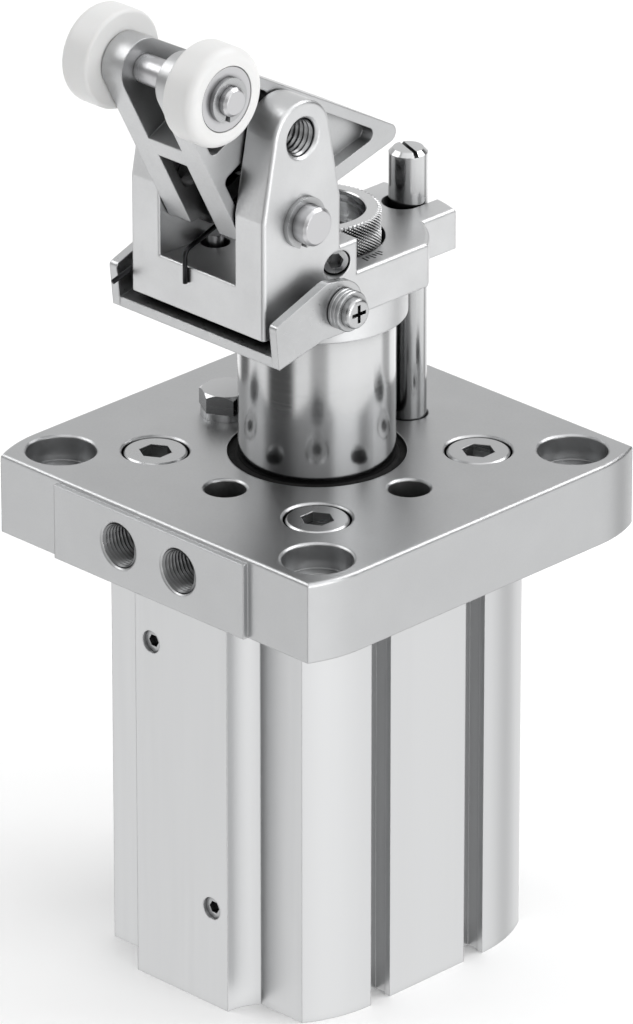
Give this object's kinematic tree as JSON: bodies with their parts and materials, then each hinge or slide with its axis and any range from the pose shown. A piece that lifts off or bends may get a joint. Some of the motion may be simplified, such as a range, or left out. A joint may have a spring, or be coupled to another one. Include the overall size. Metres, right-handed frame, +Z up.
{
  "type": "stopper cylinder",
  "caption": "Pneumatic stopper cylinder: a slotted barrel under a square bolt-on flange, and a rod whose forked head carries a damped tilting lever with rollers.",
  "frame": {"origin": "on the cylinder's axis, in the plane of the barrel's lower face", "axes": "+Z up along the piston rod, -Y out of the air ports and towards the side that the lever leans to, +X along the lever's pivot pin"},
  "size_m": [0.093, 0.0999, 0.2133],
  "materials": {
    "barrel_aluminium": "matte anodised",
    "flange_aluminium": "satin anodised",
    "head_casting": "satin bead-blasted",
    "sheet_steel": "satin plated",
    "rod_chrome": "polished",
    "steel": "satin",
    "plated_screws": "zinc plated",
    "dark_steel": "blackened",
    "roller_plastic": "smooth",
    "piston_aluminium": "turned",
    "seal_rubber": "matte",
    "magnet": "plain",
    "bearing_bronze": "dull"
  },
  "bodies": {
    "housing": {"barrel": "barrel_aluminium", "mounting_flange": "flange_aluminium", "flange_screws": "plated_screws", "rod_guide_bush": "bearing_bronze", "rod_seal": "seal_rubber", "rod_wiper": "seal_rubber", "flange_o_ring": "seal_rubber", "end_cap_o_ring": "seal_rubber", "end_cap": "barrel_aluminium", "end_cap_ring": "dark_steel", "upper_bumper": "seal_rubber", "lower_bumper": "seal_rubber", "channel_plugs": "plated_screws", "guide_rod": "rod_chrome", "hex_bolt": "dark_steel", "hex_bolt_washer": "dark_steel"},
    "rod_assembly": {"piston_rod": "rod_chrome", "piston": "piston_aluminium", "piston_magnet": "magnet", "piston_seals": "seal_rubber", "piston_nut": "steel", "head": "head_casting", "pivot_pin": "steel", "pivot_pin_rings": "dark_steel", "damper_body": "steel", "lever_spring": "dark_steel", "stirrup_spring": "dark_steel", "stirrup_screws": "plated_screws", "stirrup_washers": "steel", "stirrup_spacers": "steel", "ring_set_screw": "dark_steel", "catch_pin": "steel"},
    "lever_arm": {"lever": "head_casting", "roller_axle": "steel", "roller_washers": "steel", "axle_rings": "dark_steel"},
    "left_roller": {"roller_left": "roller_plastic"},
    "right_roller": {"roller_right": "roller_plastic"},
    "stirrup_bracket": {"stirrup": "sheet_steel"},
    "adjusting_ring": {"damping_ring": "steel"},
    "plunger": {"damper_plunger": "rod_chrome"}
  },
  "joints": [
    {"name": "rod_stroke", "type": "slide", "parent": "housing", "child": "rod_assembly", "axis": [0, 0, 1], "range_m": [-0.03, 0]},
    {"name": "lever_tilt", "type": "hinge", "parent": "rod_assembly", "child": "lever_arm", "pos_m": [0, -0.02275, 0.1713], "axis": [-1, 0, 0], "range_deg": [0, 22], "stiffness_Nm_per_rad": 2, "springref_deg": -8.59},
    {"name": "damper_stroke", "type": "slide", "parent": "rod_assembly", "child": "plunger", "axis": [0, 0, -1], "range_m": [0, 0.0089]},
    {"name": "left_roller_spin", "type": "hinge", "parent": "lever_arm", "child": "left_roller", "pos_m": [0, -0.04314, 0.20303], "axis": [1, 0, 0], "continuous": true},
    {"name": "right_roller_spin", "type": "hinge", "parent": "lever_arm", "child": "right_roller", "pos_m": [0, -0.04314, 0.20303], "axis": [1, 0, 0], "continuous": true},
    {"name": "stirrup_tilt", "type": "hinge", "parent": "rod_assembly", "child": "stirrup_bracket", "pos_m": [0, -0.0166, 0.1524], "axis": [1, 0, 0], "range_deg": [0, 15], "stiffness_Nm_per_rad": 0.02, "springref_deg": -28.65},
    {"name": "damping_adjustment", "type": "hinge", "parent": "rod_assembly", "child": "adjusting_ring", "pos_m": [0, 0, 0.1558], "axis": [0, 0, 1], "range_deg": [-90, 90]}
  ],
  "couplings": [
    {"joint": "damper_stroke", "follows": "lever_tilt", "m_per_rad": 0.02287}
  ]
}
